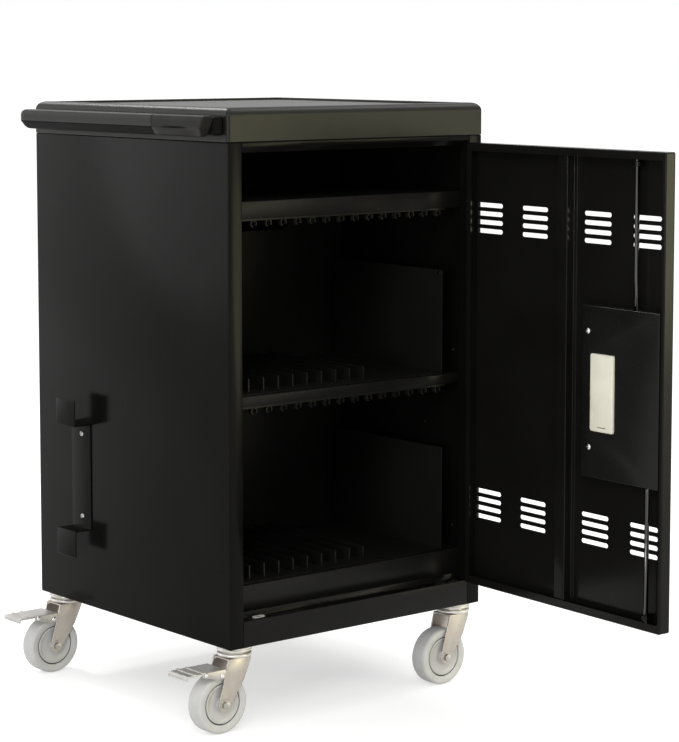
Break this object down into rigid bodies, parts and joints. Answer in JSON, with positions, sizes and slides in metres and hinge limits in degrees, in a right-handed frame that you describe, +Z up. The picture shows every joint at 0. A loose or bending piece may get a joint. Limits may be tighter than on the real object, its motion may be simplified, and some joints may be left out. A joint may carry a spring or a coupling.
{
  "type": "laptop charging cart",
  "caption": "Wheeled sheet-steel cabinet that stores laptops on edge in ribbed bays and charges them, with a lockable front door, rear access door, tray top, push handle and cord hook.",
  "frame": {"origin": "on the floor under the middle of the object's box, with the front door standing open", "axes": "+Z up; -Y is the front, where the door opens; +X is the right side, where the door is hung"},
  "size_m": [0.652, 1.104, 1.0523],
  "materials": {
    "black_paint": "black powder coat, semi-gloss",
    "black_plastic": "black moulded plastic, satin",
    "cream_plastic": "cream moulded plastic, satin",
    "steel": "plated steel, satin",
    "zinc": "zinc plate, warm and slightly dull",
    "tyre_grey": "grey thermoplastic rubber, matt",
    "hub_grey": "light grey moulded plastic, satin"
  },
  "bodies": {
    "cabinet": {"left_side_panel": "black_paint", "right_side_panel": "black_paint", "bottom_pan": "black_paint", "roof_panel": "black_paint", "worktop_tray": "black_plastic", "handle_bar": "black_plastic", "handle_grip": "black_plastic", "handle_bracket_front": "black_plastic", "handle_bracket_rear": "black_plastic", "cord_hook": "black_paint", "lower_deck": "black_paint", "middle_shelf": "black_paint", "top_shelf": "black_paint", "rear_partition": "black_paint", "lower_device_rack": "black_paint", "upper_device_rack": "black_paint", "lower_clip_rail": "black_plastic", "upper_clip_rail": "black_plastic", "lower_power_strip": "black_plastic", "upper_power_strip": "black_plastic", "power_inlet": "black_plastic", "hinge_frame_leaf_upper": "black_paint", "hinge_frame_leaf_lower": "black_paint", "hinge_pin_upper": "steel", "hinge_pin_lower": "steel", "caster_plate_front_left": "zinc", "caster_plate_front_right": "zinc", "caster_plate_rear_left": "zinc", "caster_plate_rear_right": "zinc"},
    "front_door": {"door_pan": "black_paint", "door_stiffener": "black_paint", "lock_cover": "black_paint", "pull_cup": "cream_plastic", "lock_body": "steel", "hinge_door_leaf_upper": "black_paint", "hinge_door_leaf_lower": "black_paint"},
    "lock": {"lock_plug": "steel"},
    "upper_rod": {"lock_rod_upper": "steel"},
    "lower_rod": {"lock_rod_lower": "steel"},
    "rear_door": {"rear_door": "black_paint"},
    "rear_lock": {"rear_lock": "steel"},
    "power_switch": {"power_rocker": "black_plastic"},
    "swivel_front_left": {"caster_fork_front_left": "zinc", "caster_axle_front_left": "steel"},
    "wheel_front_left": {"caster_tyre_front_left": "tyre_grey", "caster_hub_front_left": "hub_grey"},
    "swivel_front_right": {"caster_fork_front_right": "zinc", "caster_axle_front_right": "steel"},
    "wheel_front_right": {"caster_tyre_front_right": "tyre_grey", "caster_hub_front_right": "hub_grey"},
    "swivel_rear_left": {"caster_fork_rear_left": "zinc", "caster_axle_rear_left": "steel"},
    "wheel_rear_left": {"caster_tyre_rear_left": "tyre_grey", "caster_hub_rear_left": "hub_grey"},
    "swivel_rear_right": {"caster_fork_rear_right": "zinc", "caster_axle_rear_right": "steel"},
    "wheel_rear_right": {"caster_tyre_rear_right": "tyre_grey", "caster_hub_rear_right": "hub_grey"},
    "pedal_front_left": {"brake_pedal_front_left": "zinc"},
    "pedal_rear_left": {"brake_pedal_rear_left": "zinc"}
  },
  "joints": [
    {"name": "front_door_swing", "type": "hinge", "parent": "cabinet", "child": "front_door", "pos_m": [0.3015, -0.04278, 0.193], "axis": [0, 0, 1], "range_deg": [-87.5, 87.5]},
    {"name": "lock_turn", "type": "hinge", "parent": "front_door", "child": "lock", "pos_m": [0.27525, -0.49507, 0.576], "axis": [0.999, -0.0436, 0], "range_deg": [0, 90]},
    {"name": "upper_rod_slide", "type": "slide", "parent": "front_door", "child": "upper_rod", "axis": [0, 0, 1], "range_m": [0, 0.009]},
    {"name": "lower_rod_slide", "type": "slide", "parent": "front_door", "child": "lower_rod", "axis": [0, 0, -1], "range_m": [0, 0.0091]},
    {"name": "rear_door_swing", "type": "hinge", "parent": "cabinet", "child": "rear_door", "pos_m": [-0.1985, 0.54072, 0.193], "axis": [0, 0, 1], "range_deg": [0, 105]},
    {"name": "rear_lock_turn", "type": "hinge", "parent": "rear_door", "child": "rear_lock", "pos_m": [0.2605, 0.54872, 0.588], "axis": [0, 1, 0], "range_deg": [0, 90]},
    {"name": "power_switch_rock", "type": "hinge", "parent": "cabinet", "child": "power_switch", "pos_m": [-0.0845, 0.54422, 0.1675], "axis": [0, 0, -1], "range_deg": [0, 16]},
    {"name": "swivel_front_left", "type": "hinge", "parent": "cabinet", "child": "swivel_front_left", "pos_m": [-0.2075, -0.00328, 0.1271], "axis": [0, 0, 1], "continuous": true},
    {"name": "roll_front_left", "type": "hinge", "parent": "swivel_front_left", "child": "wheel_front_left", "pos_m": [-0.2435, -0.00328, 0.051], "axis": [0, 1, 0], "continuous": true},
    {"name": "swivel_front_right", "type": "hinge", "parent": "cabinet", "child": "swivel_front_right", "pos_m": [0.2915, -0.00328, 0.1271], "axis": [0, 0, 1], "continuous": true},
    {"name": "roll_front_right", "type": "hinge", "parent": "swivel_front_right", "child": "wheel_front_right", "pos_m": [0.2555, -0.00328, 0.051], "axis": [0, 1, 0], "continuous": true},
    {"name": "swivel_rear_left", "type": "hinge", "parent": "cabinet", "child": "swivel_rear_left", "pos_m": [-0.2075, 0.51572, 0.1271], "axis": [0, 0, 1], "continuous": true},
    {"name": "roll_rear_left", "type": "hinge", "parent": "swivel_rear_left", "child": "wheel_rear_left", "pos_m": [-0.2435, 0.51572, 0.051], "axis": [0, 1, 0], "continuous": true},
    {"name": "swivel_rear_right", "type": "hinge", "parent": "cabinet", "child": "swivel_rear_right", "pos_m": [0.2915, 0.51572, 0.1271], "axis": [0, 0, 1], "continuous": true},
    {"name": "roll_rear_right", "type": "hinge", "parent": "swivel_rear_right", "child": "wheel_rear_right", "pos_m": [0.2555, 0.51572, 0.051], "axis": [0, 1, 0], "continuous": true},
    {"name": "pedal_front_left", "type": "hinge", "parent": "swivel_front_left", "child": "pedal_front_left", "pos_m": [-0.2515, -0.00328, 0.103], "axis": [0, -1, 0], "range_deg": [0, 8]},
    {"name": "pedal_rear_left", "type": "hinge", "parent": "swivel_rear_left", "child": "pedal_rear_left", "pos_m": [-0.2515, 0.51572, 0.103], "axis": [0, -1, 0], "range_deg": [0, 8]}
  ],
  "couplings": [
    {"joint": "lock_turn", "follows": "upper_rod_slide", "rad_per_m": 174.53},
    {"joint": "lower_rod_slide", "follows": "upper_rod_slide", "ratio": 1}
  ]
}
